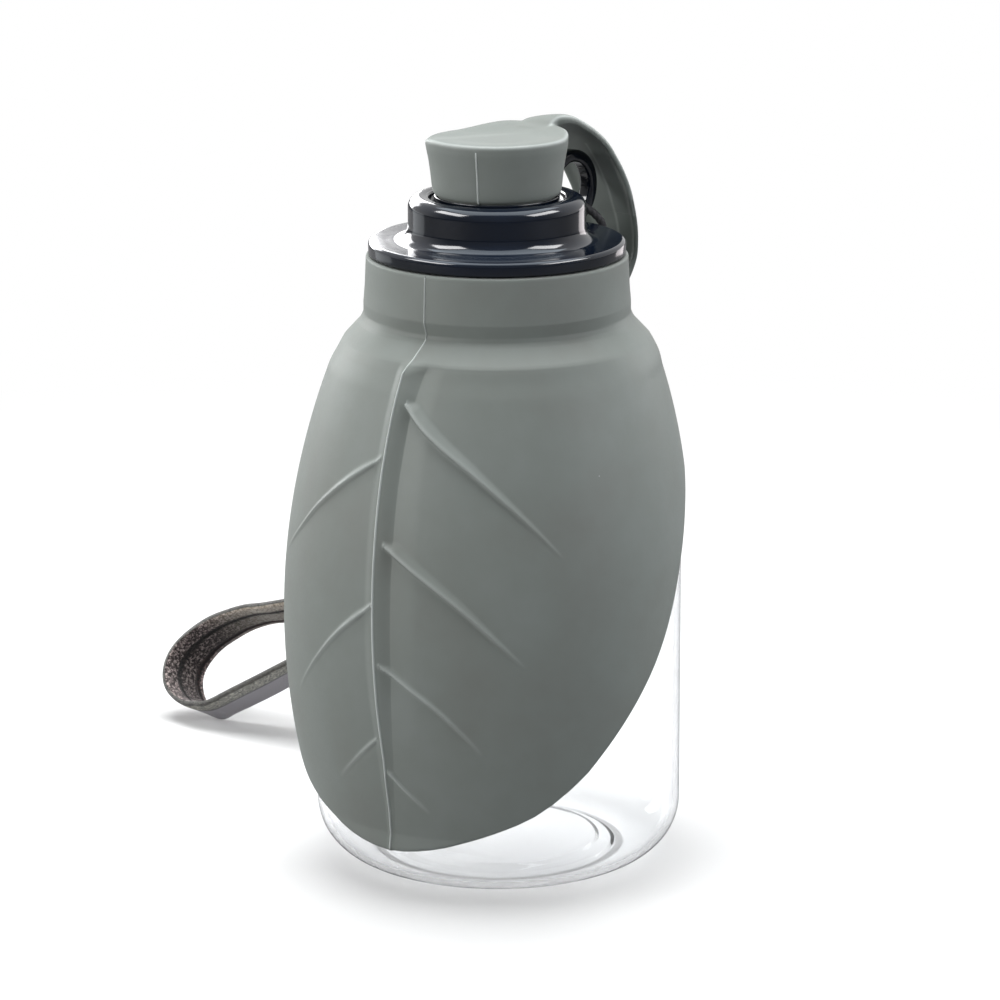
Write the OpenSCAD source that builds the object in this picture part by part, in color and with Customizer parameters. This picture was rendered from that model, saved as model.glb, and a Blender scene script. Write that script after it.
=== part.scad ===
// Travel water bottle for a dog: a clear squeeze bottle, a leaf-shaped silicone
// bowl folded down over it, a screw cap with an eye ring, a tethered stopper
// and a wrist lanyard. +Z is up, the origin is on the bottle's axis at its foot,
// the leaf's tip points to -Y and the stopper's strap lies towards +Y.

/* [Bottle] */
// Outer diameter of the bottle's straight wall
bottle_d = 71.5; // [68:0.5:75]
// Height at which the straight wall turns into the shoulder
wall_top_z = 62; // [50:1:66]
// Radius of the long shoulder curve
shoulder_arc_r = 120; // [110:1:140]
// Height at which the shoulder curve ends
shoulder_top_z = 100; // [98:1:101]
// Thickness of the bottle's wall
bottle_wall = 1.2; // [0.8:0.1:1.6]
// Radius of the rounded corner above the foot
corner_r = 11; // [8:1:13]
// Outer radius of the pushed-up middle of the base
push_up_r = 20; // [16:1:22]
// Height of the pushed-up middle of the base
push_up_h = 3.6; // [2:0.1:5]
// Outer diameter of the neck
neck_d = 38.4; // [36:0.2:39]
// Thickness of the neck's wall
neck_wall = 2; // [1.6:0.1:2.6]
// Length of the neck above its collar
neck_h = 13.6; // [12:0.1:14.4]
// Radius by which the collar stands out from the neck
collar_w = 3.3; // [2.6:0.1:3.6]
// Thickness of the collar
collar_h = 1.8; // [1.4:0.1:2.2]

/* [Screw thread] */
// Rise of the thread in one turn
thread_pitch = 4; // [3.6:0.1:4.4]
// Number of turns of each thread ridge
thread_turns = 1.5; // [1:0.25:1.5]
// Height of a thread ridge off its wall
thread_depth = 1.1; // [0.8:0.1:1.2]
// Thickness of a thread ridge along the axis
thread_w = 1.2; // [1:0.1:1.4]

/* [Leaf bowl] */
// Thickness of the folded leaf
leaf_wall = 1.3; // [1:0.1:1.6]
// Gap between the leaf and the bottle's wall
leaf_gap = 0.3; // [0.2:0.1:0.6]
// Largest radius of the leaf's bulging front
leaf_bulge_r = 41.9; // [40:0.1:44]
// Height of the widest part of the bulge
leaf_bulge_z = 48; // [42:1:54]
// Radius of the bulge's upright curve
leaf_bulge_arc_r = 134; // [124:1:150]
// Height of the rim at the leaf's tip
leaf_tip_z = 9.3; // [8:0.1:14]
// Height of the rim at the back
leaf_back_z = 85; // [80:1:88]
// Outer radius of the neck band under the cap
band_r = 25.2; // [25:0.1:26.4]
// Thickness of the neck band
band_wall = 1.9; // [1.6:0.1:2]
// Height of the neck band above the crease
band_h = 12.6; // [11.8:0.1:13.2]
// Thickness of the lip held between collar and cap
lip_h = 1.8; // [1.4:0.1:2.2]
// Gap between the lip and the bottle's neck
lip_gap = 0.3; // [0.2:0.1:0.5]

/* [Screw cap] */
// Radius of the cap's flange
flange_r = 24.75; // [24:0.05:25.6]
// Thickness of the cap's flange
flange_h = 2.7; // [2.4:0.1:3.2]
// Radius of the tower that holds the nozzle
tower_r = 17.5; // [17:0.1:18.4]
// Height of the tower above the flange
tower_h = 10.5; // [10:0.1:11.4]
// Radial gap between the cap's skirt and the neck band
skirt_gap = 0.9; // [0.5:0.1:1]
// Radial gap between the cap's thread and the bottle's neck
thread_gap = 0.5; // [0.4:0.1:0.6]
// Radius of the hole that the water is squeezed through
outlet_r = 3.5; // [2.5:0.1:5]
// Radius of the stopper's seat at its mouth
seat_r = 12.65; // [12.4:0.05:13.2]
// Slope of the seat's wall, radius lost per height
seat_slope = 0.22; // [0.2:0.01:0.25]
// Depth of the seat
seat_h = 5.5; // [5:0.1:6]
// Dish of the tower's top, from its rim down to the seat
tower_dish = 1.2; // [0.8:0.1:1.4]
// Way that the cap is turned past the leaf's own plane, in degrees
cap_bearing = 4; // [0:1:8]

/* [Eye ring] */
// Radius of the eye ring
ring_r = 7.5; // [7.2:0.1:7.6]
// Radius of the eye
eye_r = 5.1; // [4.8:0.1:5.2]
// Thickness of the eye ring
ring_w = 3; // [2.4:0.1:3.4]
// Distance of the eye from the cap's axis
eye_y = 22.6; // [22.4:0.05:22.7]

/* [Seal] */
// Thickness of the sealing ring under the cap
seal_h = 1.6; // [1.2:0.1:2]
// Width of the sealing ring
seal_w = 2.4; // [2:0.1:2.8]

/* [Stopper] */
// Radius of the stopper's head near its top
head_r = 13.7; // [13.4:0.1:14.2]
// Height of the head above the tower's seat
head_h = 10.6; // [9.6:0.1:11.4]
// Gap between the stopper and its seat
stopper_gap = 0.35; // [0.3:0.05:0.5]
// Rounding of the head's upper edge
head_round = 1.2; // [0.8:0.1:1.6]
// Thickness of the strap
strap_t = 1.6; // [1.3:0.1:1.8]
// Half of the strap's width at its crown
strap_half_w = 8; // [7:0.1:8.6]
// Half of the strap's width at its lowest bend
strap_foot_half_w = 4.6; // [4:0.1:5.4]
// Furthest reach of the strap from the cap's axis
strap_reach = 39.7; // [39:0.1:41]
// Height of the strap's crown above the tower's seat
crown_h = 13.4; // [13:0.1:14.2]

/* [Lanyard] */
// Width of the webbing
webbing_w = 10; // [8:0.5:12]
// Thickness of the webbing
webbing_t = 1.5; // [1.2:0.1:1.8]
// Diameter of the cord between eye and webbing
cord_d = 1.6; // [1.2:0.1:1.8]

/* [Hidden] */
$fn = 96;

silicone = [0.50, 0.52, 0.51];
navy = [0.13, 0.16, 0.22];
fabric = [0.42, 0.39, 0.41];

// Heights, each from the one below it.
collar_z = shoulder_top_z + 3.2;
lip_z = collar_z + collar_h;
mouth_z = lip_z + neck_h;
face_gap = 0.2;
seal_top_z = mouth_z + seal_h;
crease_z = lip_z + 2;
band_top_z = crease_z + band_h;
flange_z = band_top_z + face_gap;
flange_top_z = flange_z + flange_h;
tower_z = flange_top_z + tower_h;
seat_z = tower_z - tower_dish;
seat_floor_z = seat_z - seat_h;
head_top_z = seat_z + head_h;
crown_z = seat_z + crown_h;
eye_z = flange_top_z + 6.6;

// Radii of the bottle's neck and of what goes round it.
bottle_r = bottle_d / 2;
neck_r = neck_d / 2;
bore_r = neck_r - neck_wall;
collar_r = neck_r + collar_w;
band_in_r = band_r - band_wall;
skirt_r = band_in_r - skirt_gap;
cap_bore_r = neck_r + thread_depth + thread_gap;
running_gap = 0.3;
embed = 0.2;

// Radius of the bottle's outer wall at height z, from the corner to the collar.
function bottle_wall_r(z) =
    z <= wall_top_z ? bottle_r
    : bottle_r - shoulder_arc_r + sqrt(shoulder_arc_r ^ 2 - (z - wall_top_z) ^ 2);

function smooth(t) = let (u = max(0, min(1, t))) u * u * (3 - 2 * u);
function mix(a, b, t) = a + (b - a) * t;
function arc(cy, cz, r, from, to, steps) =
    [for (i = [0 : steps]) let (a = mix(from, to, i / steps)) [cy + r * cos(a), cz + r * sin(a)]];

// A solid swept through equal loops of points, closed at both ends unless it
// runs round into itself.
module sweep(loops, ring = false) {
    sides = len(loops[0]);
    count = len(loops);
    last = ring ? count : count - 1;
    walls = [for (i = [0 : last - 1], j = [0 : sides - 1])
        let (a = i * sides, b = ((i + 1) % count) * sides, k = (j + 1) % sides)
        each [[a + j, b + k, a + k], [a + j, b + j, b + k]]];
    caps = ring ? [] : [[for (j = [0 : sides - 1]) j],
                        [for (j = [sides - 1 : -1 : 0]) (count - 1) * sides + j]];
    polyhedron([for (l = loops, p = l) p], concat(walls, caps));
}

// One helical ridge on a wall of radius wall_r, standing out by depth, or in
// where depth is negative.
module thread_ridge(wall_r, depth, start_z) {
    step = 15;
    root = wall_r - sign(depth) * embed;
    crest = wall_r + depth;
    sections = thread_turns * 360 / step;
    loops = [for (i = [0 : sections])
        let (a = i * step, z = start_z + thread_pitch * a / 360, w = thread_w / 2,
             outline = [[root, -w], [crest, -w / 2], [crest, w / 2], [root, w]],
             order = depth > 0 ? [0, 1, 2, 3] : [3, 2, 1, 0])
        [for (k = order) [outline[k][0] * cos(a), outline[k][0] * sin(a), z + outline[k][1]]]];
    sweep([for (i = [sections : -1 : 0]) loops[i]]);
}

module bottle() {
    foot_r = bottle_r - corner_r;
    in_corner_r = corner_r - bottle_wall;
    shoulder = [for (i = [0 : 10]) let (z = mix(wall_top_z, shoulder_top_z, i / 10)) [bottle_wall_r(z), z]];
    outer = concat(
        [[0, push_up_h], [push_up_r * 0.45, push_up_h], [push_up_r * 0.62, push_up_h - 0.9],
         [push_up_r * 0.9, 0.9], [push_up_r, 0]],
        arc(foot_r, corner_r, corner_r, -90, 0, 10),
        shoulder,
        [[collar_r - 1, collar_z], [collar_r, collar_z], [collar_r, lip_z], [neck_r, lip_z],
         [neck_r, mouth_z], [bore_r, mouth_z], [bore_r, collar_z]]);
    inner = concat(
        [for (i = [10 : -1 : 0]) [shoulder[i][0] - bottle_wall, shoulder[i][1] - bottle_wall * 0.6]],
        arc(foot_r, corner_r, in_corner_r, 0, -90, 10),
        [[push_up_r, bottle_wall], [push_up_r * 0.9, 0.9 + bottle_wall],
         [push_up_r * 0.62, push_up_h - 0.9 + bottle_wall],
         [push_up_r * 0.45, push_up_h + bottle_wall], [0, push_up_h + bottle_wall]]);
    color([0.93, 0.96, 0.97, 0.35])
        union() {
            rotate_extrude() polygon(concat(outer, inner));
            thread_ridge(neck_r, thread_depth, lip_z + 3.2);
        }
}

// How far the leaf bulges at an angle from its tip: 1 in front, 0 at the back.
function bulge_share(angle) = 1 - smooth((abs(angle) - 55) / 70);

// Outer radius of the folded leaf, at an angle from its tip and a height.
function leaf_r(angle, z) =
    let (hug = bottle_wall_r(z) + leaf_gap + leaf_wall,
         front = leaf_bulge_r - (z - leaf_bulge_z) ^ 2 / (2 * leaf_bulge_arc_r))
    max(hug, mix(hug, front, bulge_share(angle)));

// Height of the leaf's rim at an angle from its tip: low in front, high behind.
function rim_rise(angle) = let (u = min(1, abs(angle) / 125)) u < 0.5 ? 1.06 * u ^ 2.2
    : mix(1.06 * 0.5 ^ 2.2, 1, smooth((u - 0.5) / 0.5) * 0.55 + (u - 0.5) / 0.5 * 0.45);
function rim_z(angle) = mix(leaf_tip_z, leaf_back_z, rim_rise(angle));

module leaf_bowl() {
    segments = 60;
    rows = 12;
    shoulder_drop = 6;
    lip_r = neck_r + lip_gap;
    flare_r = band_r + 1.3;
    loops = [for (s = [0 : segments - 1])
        let (turn = 360 * s / segments, angle = turn > 180 ? turn - 360 : turn,
             top = crease_z - shoulder_drop, low = rim_z(angle),
             skirt = [for (i = [0 : rows]) let (z = mix(top, low, i / rows)) [leaf_r(angle, z), z]],
             outer = concat([[band_r, band_top_z], [band_r + 0.3, crease_z + 6], [band_r + 0.8, crease_z + 1.4],
                             [flare_r, crease_z], [mix(flare_r, skirt[0][0], 0.5) + 0.2, crease_z - 2.6]], skirt),
             inner = concat([for (i = [rows : -1 : 0]) [skirt[i][0] - leaf_wall, skirt[i][1]]],
                            [[mix(flare_r, skirt[0][0], 0.5) - leaf_wall, crease_z - 2.6],
                             [collar_r + running_gap, lip_z], [lip_r, lip_z], [lip_r, lip_z + lip_h],
                             [band_in_r, lip_z + lip_h], [band_in_r, band_top_z]]))
        [for (p = concat(outer, inner)) [p[0] * sin(angle), -p[0] * cos(angle), p[1]]]];
    color(silicone) sweep(loops, ring = true);
}

// The strap's outer face in the plane of the eye ring: a long arch from the
// stopper's crown to its furthest reach, then a tight bend back to the neck band.
function bezier(p, t) =
    (1 - t) ^ 3 * p[0] + 3 * (1 - t) ^ 2 * t * p[1] + 3 * (1 - t) * t ^ 2 * p[2] + t ^ 3 * p[3];
function turned_left(v) = [-v[1], v[0]] / norm(v);
bend_z = band_top_z - 7.6;
arch = [[12, crown_z], [eye_y + 1.5, crown_z - 0.1], [strap_reach - 0.8, crown_z - 15.3], [strap_reach, bend_z]];
bend = [[strap_reach, bend_z], [strap_reach, bend_z - 5], [strap_reach - 5.7, bend_z - 5.8], [band_r + 0.4, bend_z - 2.5]];
hinge_at = 0.69;
hinge_point = bezier(arch, hinge_at);
function face_points(curve, from, to, steps) =
    [for (i = [0 : steps]) bezier(curve, mix(from, to, i / steps))];
function inner_points(curve, from, to, steps) =
    [for (i = [steps : -1 : 0])
        let (t = mix(from, to, i / steps), h = 0.002,
             d = bezier(curve, min(1, t + h)) - bezier(curve, max(0, t - h)))
        bezier(curve, t) - strap_t * turned_left(d)];

// A strip of the strap between two places on a curve, as wide as given.
module strip(curve, from, to, width, lead = []) {
    steps = 12;
    outline = concat(lead, face_points(curve, from, to, steps), inner_points(curve, from, to, steps));
    rotate([90, 0, 90]) linear_extrude(width, center = true) polygon(outline);
}

// The strap's outline seen square to its arch: widest at the crown and
// narrowing down to the foot. It starts behind the stopper's head and runs on
// past the strap's lowest bend, through the whole depth of the arch.
outline_tilt = -48;
outline_start = -1.2 * head_r;
outline_end = 1.56 * strap_reach;
outline_depth = 1.5 * strap_reach;
function outline_half_w(u) = mix(strap_half_w, strap_foot_half_w, smooth(0.95 * u));
module strap_outline() {
    side = [for (i = [0 : 12]) let (u = i / 12) [outline_half_w(u), mix(outline_start, outline_end, u)]];
    translate([0, head_r / 2, crown_z + head_r])
        rotate([outline_tilt, 0, 0])
            translate([0, 0, -0.7 * outline_depth])
                linear_extrude(outline_depth)
                    polygon(concat(side, [for (i = [12 : -1 : 0]) [-side[i][0], side[i][1]]]));
}

module stopper() {
    tip_z = seat_floor_z + running_gap;
    tip_r = seat_r - stopper_gap - seat_slope * (seat_z - tip_z);
    shoulder_r = seat_r - stopper_gap;
    round_z = head_top_z - head_round;
    color(silicone)
        rotate([0, 0, -cap_bearing])
            union() {
                rotate_extrude()
                    polygon(concat(
                        [[0, tip_z], [tip_r, tip_z], [shoulder_r, seat_z]],
                        arc(head_r - head_round, round_z, head_round, 0, 90, 6),
                        [[0, head_top_z]]));
                intersection() {
                    strip(arch, 0, hinge_at, 2 * head_r,
                          lead = [[9, head_top_z - 1.5], [2, head_top_z - 1.5], [2, head_top_z], [8, crown_z - 1]]);
                    strap_outline();
                }
            }
}

module strap_foot() {
    color(silicone)
        rotate([0, 0, -cap_bearing])
            intersection() {
                union() {
                    strip(arch, hinge_at, 1, 2 * head_r);
                    strip(bend, 0, 1, 2 * strap_foot_half_w);
                }
                strap_outline();
            }
}

module screw_cap() {
    edge = 1.2;
    hollow_r = seat_r + 0.9;
    seat_floor_r = seat_r - seat_slope * seat_h;
    floor_t = 2.6;
    skirt_z = lip_z + lip_h + running_gap;
    color(navy)
        rotate([0, 0, -cap_bearing])
            union() {
                rotate_extrude()
                    polygon(concat(
                        [[cap_bore_r, skirt_z], [skirt_r, skirt_z], [skirt_r, flange_z]],
                        [[flange_r, flange_z]],
                        arc(flange_r - edge, flange_top_z - edge, edge, 0, 90, 6),
                        arc(tower_r + edge, flange_top_z + edge, edge, 270, 180, 6),
                        arc(tower_r - edge, tower_z - edge, edge, 0, 90, 6),
                        [[seat_r, seat_z], [seat_floor_r, seat_floor_z], [outlet_r, seat_floor_z],
                         [outlet_r, seat_floor_z - floor_t], [hollow_r - 2, seat_floor_z - floor_t],
                         [hollow_r - 2, seal_top_z], [cap_bore_r, seal_top_z]]));
                difference() {
                    translate([0, eye_y, eye_z])
                        rotate([0, 90, 0])
                            difference() {
                                cylinder(h = ring_w, r = ring_r, center = true);
                                cylinder(h = ring_w + 1, r = eye_r, center = true);
                            }
                    cylinder(h = tower_z + 1, r = tower_r - 1);
                    cylinder(h = flange_z + 0.6, r = flange_r + ring_r);
                }
                thread_ridge(cap_bore_r, -thread_depth, lip_z + 3.2 + thread_pitch / 2);
            }
}

module cap_seal() {
    color([0.85, 0.86, 0.86])
        translate([0, 0, mouth_z])
            difference() {
                cylinder(h = seal_h, r = neck_r - embed);
                translate([0, 0, -1])
                    cylinder(h = seal_h + 2, r = neck_r - embed - seal_w);
            }
}

// Routes of the lanyard, chosen by hand. The cord's lie in the cap's own frame,
// x across the eye ring and y outwards; the webbing's lie in the part's frame.
cord_route = [
    [-23.7, 35.6, 98.1], [-23.1, 35.3, 100.2], [-20.6, 34.0, 103.6], [-15.4, 32.4, 107.8],
    [-9.0, 31.4, 112.4], [-3.0, 31.2, 117.0], [1.0, 30.8, 119.2], [3.2, 29.2, 121.0],
    [3.4, 27.0, 123.2], [1.9, 24.4, 125.6], [0.0, 24.0, 126.2], [-1.9, 24.4, 125.6],
    [-3.4, 26.8, 123.2], [-5.0, 28.0, 120.4], [-9.0, 29.0, 114.6], [-16.0, 30.2, 107.8],
    [-22.6, 31.6, 103.0], [-24.9, 32.3, 100.4], [-25.5, 32.5, 98.1]];
webbing_route = [
    [-23.2, 34.2, 98.0], [-25.4, 35.6, 90.0], [-28.6, 37.4, 79.0], [-33.2, 39.2, 68.0],
    [-40.0, 41.0, 56.0], [-49.6, 42.6, 44.0], [-61.0, 43.2, 34.6], [-74.0, 42.6, 28.2],
    [-85.4, 42.0, 24.5], [-91.6, 42.0, 22.9], [-96.4, 41.6, 21.0], [-100.4, 40.8, 18.8],
    [-104.0, 39.7, 16.1], [-106.5, 38.4, 13.3], [-107.8, 37.0, 10.6], [-107.7, 35.4, 8.0],
    [-106.2, 33.8, 5.7], [-103.4, 32.4, 4.1], [-100.2, 31.5, 3.4], [-97.2, 31.0, 3.5],
    [-94.2, 31.0, 4.5], [-88.9, 31.7, 7.2], [-80.0, 33.2, 12.6], [-68.0, 35.6, 20.8],
    [-54.0, 38.6, 31.6], [-42.0, 41.0, 44.0], [-33.6, 42.0, 57.0], [-28.0, 41.4, 70.0],
    [-24.0, 39.4, 85.0], [-21.2, 37.2, 98.0]];
// Width of the webbing, as a direction, at each point of its route.
webbing_side = [
    [-0.8, 0.6, 0.0], [-0.8, 0.6, 0.0], [-0.7, 0.7, 0.0], [-0.6, 0.8, -0.1],
    [-0.4, 0.9, -0.2], [-0.2, 0.9, -0.3], [0.0, 0.9, -0.4], [0.1, 0.8, -0.5],
    [0.2, 0.8, -0.5], [0.2, 0.8, -0.5], [0.2, 0.8, -0.5], [0.3, 0.8, -0.5],
    [0.3, 0.8, -0.5], [0.4, 0.8, -0.4], [0.4, 0.8, -0.4], [0.4, 0.8, -0.4],
    [0.4, 0.8, -0.4], [0.3, 0.8, -0.4], [0.2, 0.8, -0.4], [0.1, 0.8, -0.5],
    [-0.1, 0.8, -0.5], [-0.2, 0.8, -0.6], [-0.2, 0.8, -0.6], [-0.3, 0.8, -0.5],
    [-0.4, 0.8, -0.3], [-0.5, 0.8, -0.1], [-0.6, 0.8, 0.0], [-0.7, 0.7, 0.0],
    [-0.8, 0.6, 0.0], [-0.8, 0.6, 0.0]];

function unit(v) = v / norm(v);
function along(list, i) = list[max(0, min(len(list) - 1, i))];
function curve_point(list, u) =
    let (i = floor(u), t = u - i, a = along(list, i - 1), b = along(list, i),
         c = along(list, i + 1), d = along(list, i + 2))
    0.5 * (2 * b + (c - a) * t + (2 * a - 5 * b + 4 * c - d) * t ^ 2 + (3 * b - a - 3 * c + d) * t ^ 3);

// Loops of a tube along a route. The cross-section's points are turned so that
// their x lies along the side direction.
function tube_loops(route, side, section, steps) =
    [for (i = [0 : steps])
        let (u = (len(route) - 1) * i / steps, at = curve_point(route, u), h = 0.02,
             way = unit(curve_point(route, min(len(route) - 1, u + h)) - curve_point(route, max(0, u - h))),
             raw = curve_point(side, u), x = unit(raw - (raw * way) * way), y = cross(way, x))
        [for (p = section) at + p[0] * x + p[1] * y]];

module lanyard_cord() {
    section = [for (a = [0 : 45 : 315]) cord_d / 2 * [cos(a), sin(a)]];
    side = [for (i = [0 : len(cord_route) - 1]) [0.2, 0.9, 0.35]];
    color([0.16, 0.16, 0.18])
        rotate([0, 0, -cap_bearing]) sweep(tube_loops(cord_route, side, section, 50));
}

module lanyard_webbing() {
    w = webbing_w / 2;
    t = webbing_t / 2;
    edge = t * 0.6;
    section = [[w, -t + edge], [w, t - edge], [w - edge, t], [-w + edge, t],
               [-w, t - edge], [-w, -t + edge], [-w + edge, -t], [w - edge, -t]];
    color(fabric) sweep(tube_loops(webbing_route, webbing_side, section, 72));
}

bottle();
leaf_bowl();
strap_foot();
screw_cap();
cap_seal();
stopper();
lanyard_cord();
lanyard_webbing();
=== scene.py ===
"""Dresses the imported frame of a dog's travel water bottle and sets its camera, floor and lights.

The tables are in mm. Points in the cap's own frame have x across the eye ring and y out towards
it; from_cap turns them into the shared frame."""

import math

import bpy
import numpy as np
from mathutils import Matrix, Vector


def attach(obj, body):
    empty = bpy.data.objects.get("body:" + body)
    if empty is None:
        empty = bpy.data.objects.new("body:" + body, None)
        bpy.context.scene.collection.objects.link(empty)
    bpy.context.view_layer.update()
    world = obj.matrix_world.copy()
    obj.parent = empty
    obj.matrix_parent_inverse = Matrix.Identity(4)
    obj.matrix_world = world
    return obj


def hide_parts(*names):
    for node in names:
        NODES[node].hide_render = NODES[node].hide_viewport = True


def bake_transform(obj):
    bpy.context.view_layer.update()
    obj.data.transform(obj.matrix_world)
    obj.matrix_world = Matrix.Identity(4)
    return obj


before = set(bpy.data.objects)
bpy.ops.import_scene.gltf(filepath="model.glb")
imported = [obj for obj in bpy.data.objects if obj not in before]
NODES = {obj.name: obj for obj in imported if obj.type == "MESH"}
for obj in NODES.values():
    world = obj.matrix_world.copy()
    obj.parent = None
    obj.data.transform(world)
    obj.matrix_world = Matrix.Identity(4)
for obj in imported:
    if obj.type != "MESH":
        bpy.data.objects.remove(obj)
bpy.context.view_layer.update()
MM = 0.001

# ------------------------ camera

CAMERA_AZIMUTH = math.radians(34.5)
CAMERA_ELEVATION = math.radians(14.5)
CAMERA_DISTANCE = 868.2 * MM
TARGET_RIGHT = 0.44 * MM
TARGET_Z = 70.63 * MM
FOCAL_PIXELS = 4458.0
PICTURE_PIXELS = 1000
SENSOR = 36.0
ROLL = math.radians(-0.14)

VIEW_RIGHT = Vector((math.cos(CAMERA_AZIMUTH), math.sin(CAMERA_AZIMUTH), 0))
VIEW_AWAY = Vector((-math.sin(CAMERA_AZIMUTH), math.cos(CAMERA_AZIMUTH), 0))
UP = Vector((0, 0, 1))


def make_camera():
    forward = VIEW_AWAY * math.cos(CAMERA_ELEVATION) - UP * math.sin(CAMERA_ELEVATION)
    upward = VIEW_RIGHT.cross(forward)
    right = VIEW_RIGHT * math.cos(ROLL) + upward * math.sin(ROLL)
    top = upward * math.cos(ROLL) - VIEW_RIGHT * math.sin(ROLL)
    place = VIEW_RIGHT * TARGET_RIGHT + UP * TARGET_Z - forward * CAMERA_DISTANCE
    data = bpy.data.cameras.new("camera")
    data.lens = FOCAL_PIXELS / PICTURE_PIXELS * SENSOR
    data.sensor_width = SENSOR
    data.sensor_fit = "HORIZONTAL"
    data.clip_start = 0.05
    data.clip_end = 20
    camera = bpy.data.objects.new("camera", data)
    bpy.context.scene.collection.objects.link(camera)
    turn = Matrix((right, top, -forward)).transposed().to_4x4()
    camera.matrix_world = Matrix.Translation(place) @ turn
    bpy.context.scene.camera = camera


make_camera()

# ------------------------ small helpers


def smooth(t):
    t = np.clip(t, 0, 1)
    return t * t * (3 - 2 * t)


def between(value, start, end):
    """0 at start and 1 at end, with a smooth ramp between them. End may be the lower one."""
    return smooth((value - start) / (end - start))


def mix(a, b, t):
    return a + (b - a) * t


def make_object(name, points, faces, material, body=None, slot=None, shade=True):
    mesh = bpy.data.meshes.new(name)
    mesh.from_pydata([tuple(p) for p in points], [], faces)
    mesh.validate()
    mesh.update()
    if shade:
        mesh.polygons.foreach_set("use_smooth", [True] * len(mesh.polygons))
    obj = bpy.data.objects.new(name, mesh)
    bpy.context.scene.collection.objects.link(obj)
    if material is not None:
        mesh.materials.append(material)
    if body is not None:
        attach(obj, body)
    return obj


def set_painted_highlight(mesh, values):
    """Painted highlight along the moulding's flash lines and rims, from 0 to 1 at each point."""
    layer = mesh.attributes.new("crest", "FLOAT", "POINT")
    layer.data.foreach_set("value", np.asarray(values, dtype=np.float32))


def grid_faces(rows, columns, wrap_rows=False, wrap_columns=False):
    faces = []
    for i in range(rows if wrap_rows else rows - 1):
        for j in range(columns if wrap_columns else columns - 1):
            k, m = (i + 1) % rows, (j + 1) % columns
            faces.append((i * columns + j, i * columns + m, k * columns + m, k * columns + j))
    return faces


def end_faces(rings, count):
    """The first and the last ring of a tube as faces."""
    return [tuple(range(count - 1, -1, -1)), tuple((rings - 1) * count + j for j in range(count))]


def tube_faces(rings, count):
    return grid_faces(rings, count, wrap_columns=True) + end_faces(rings, count)


def catmull(points, u):
    """A point on the smooth curve through points, at u from 0 to len(points) - 1."""
    points = np.asarray(points, float)
    last = len(points) - 1
    i = int(min(math.floor(u), last - 1))
    t = u - i
    a, b, c, d = (points[max(0, min(last, i + k))] for k in (-1, 0, 1, 2))
    return 0.5 * (2 * b + (c - a) * t + (2 * a - 5 * b + 4 * c - d) * t * t
                  + (3 * b - a - 3 * c + d) * t ** 3)


def curve_points(points, steps):
    last = len(points) - 1
    return np.array([catmull(points, last * i / steps) for i in range(steps + 1)])


def arc(center_r, center_z, radius, start, end, steps):
    turns = np.radians(np.linspace(start, end, steps + 1))
    return [(center_r + radius * math.cos(a), center_z + radius * math.sin(a)) for a in turns]


def revolve(profile, closed=False):
    """Points and faces of a profile of (radius, height) turned about the axis."""
    segments = 256
    angles = np.radians(np.arange(segments) * 360 / segments)
    profile = np.asarray(profile, float) * MM
    points = [(r * math.cos(a), r * math.sin(a), z) for r, z in profile for a in angles]
    return points, grid_faces(len(profile), segments, wrap_rows=closed, wrap_columns=True)


# ------------------------ node helpers

WHITE, BLACK = (1, 1, 1), (0, 0, 0)


def grey(value):
    return (value, value, value)


def linear(r, g, b):
    """The linear colour of an sRGB colour from 0 to 255."""
    return tuple((v / 255 / 12.92) if v / 255 <= 0.04045 else ((v / 255 + 0.055) / 1.055) ** 2.4
                 for v in (r, g, b))


def new_material(name):
    material = bpy.data.materials.new(name)
    material.use_nodes = True
    return material, material.node_tree, material.node_tree.nodes["Principled BSDF"]


def feed(tree, node, sockets):
    """Gives a node's inputs, by name or number, plain values or the outputs of other nodes."""
    for key, value in sockets.items():
        if isinstance(value, bpy.types.NodeSocket):
            tree.links.new(value, node.inputs[key])
        else:
            node.inputs[key].default_value = value


def add_node(tree, kind, sockets=None, **settings):
    node = tree.nodes.new("ShaderNode" + kind)
    for key, value in settings.items():
        setattr(node, key, value)
    feed(tree, node, sockets or {})
    return node


def ramp(tree, value, stops):
    node = add_node(tree, "ValToRGB", {"Fac": value})
    elements = node.color_ramp.elements
    while len(elements) < len(stops):
        elements.new(0.5)
    for element, (place, colour) in zip(elements, stops):
        element.position = place
        element.color = (*colour, 1)
    return node.outputs["Color"]


def object_place(tree):
    return add_node(tree, "TexCoord").outputs["Object"]


def noise(tree, scale, detail, **more):
    sockets = {"Vector": object_place(tree), "Scale": scale, "Detail": detail, **more}
    return add_node(tree, "TexNoise", sockets).outputs["Fac"]


def calculate(tree, operation, a, b):
    return add_node(tree, "Math", {0: a, 1: b}, operation=operation).outputs["Value"]


def mix_colours(tree, share, a, b, **settings):
    sockets = {"Factor": share, "A": a, "B": b}
    return add_node(tree, "Mix", sockets, data_type="RGBA", **settings).outputs["Result"]


def map_range(tree, value, low, high, start=0.0, end=1.0, **settings):
    sockets = {"Value": value, "From Min": start, "From Max": end, "To Min": low, "To Max": high}
    return add_node(tree, "MapRange", sockets, **settings).outputs["Result"]


def bump(tree, height, strength, distance):
    sockets = {"Strength": strength, "Distance": distance, "Height": height}
    return add_node(tree, "Bump", sockets).outputs["Normal"]


def uv_place(tree):
    return add_node(tree, "UVMap", uv_map="UVMap").outputs["UV"]


# ------------------------ materials


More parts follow.
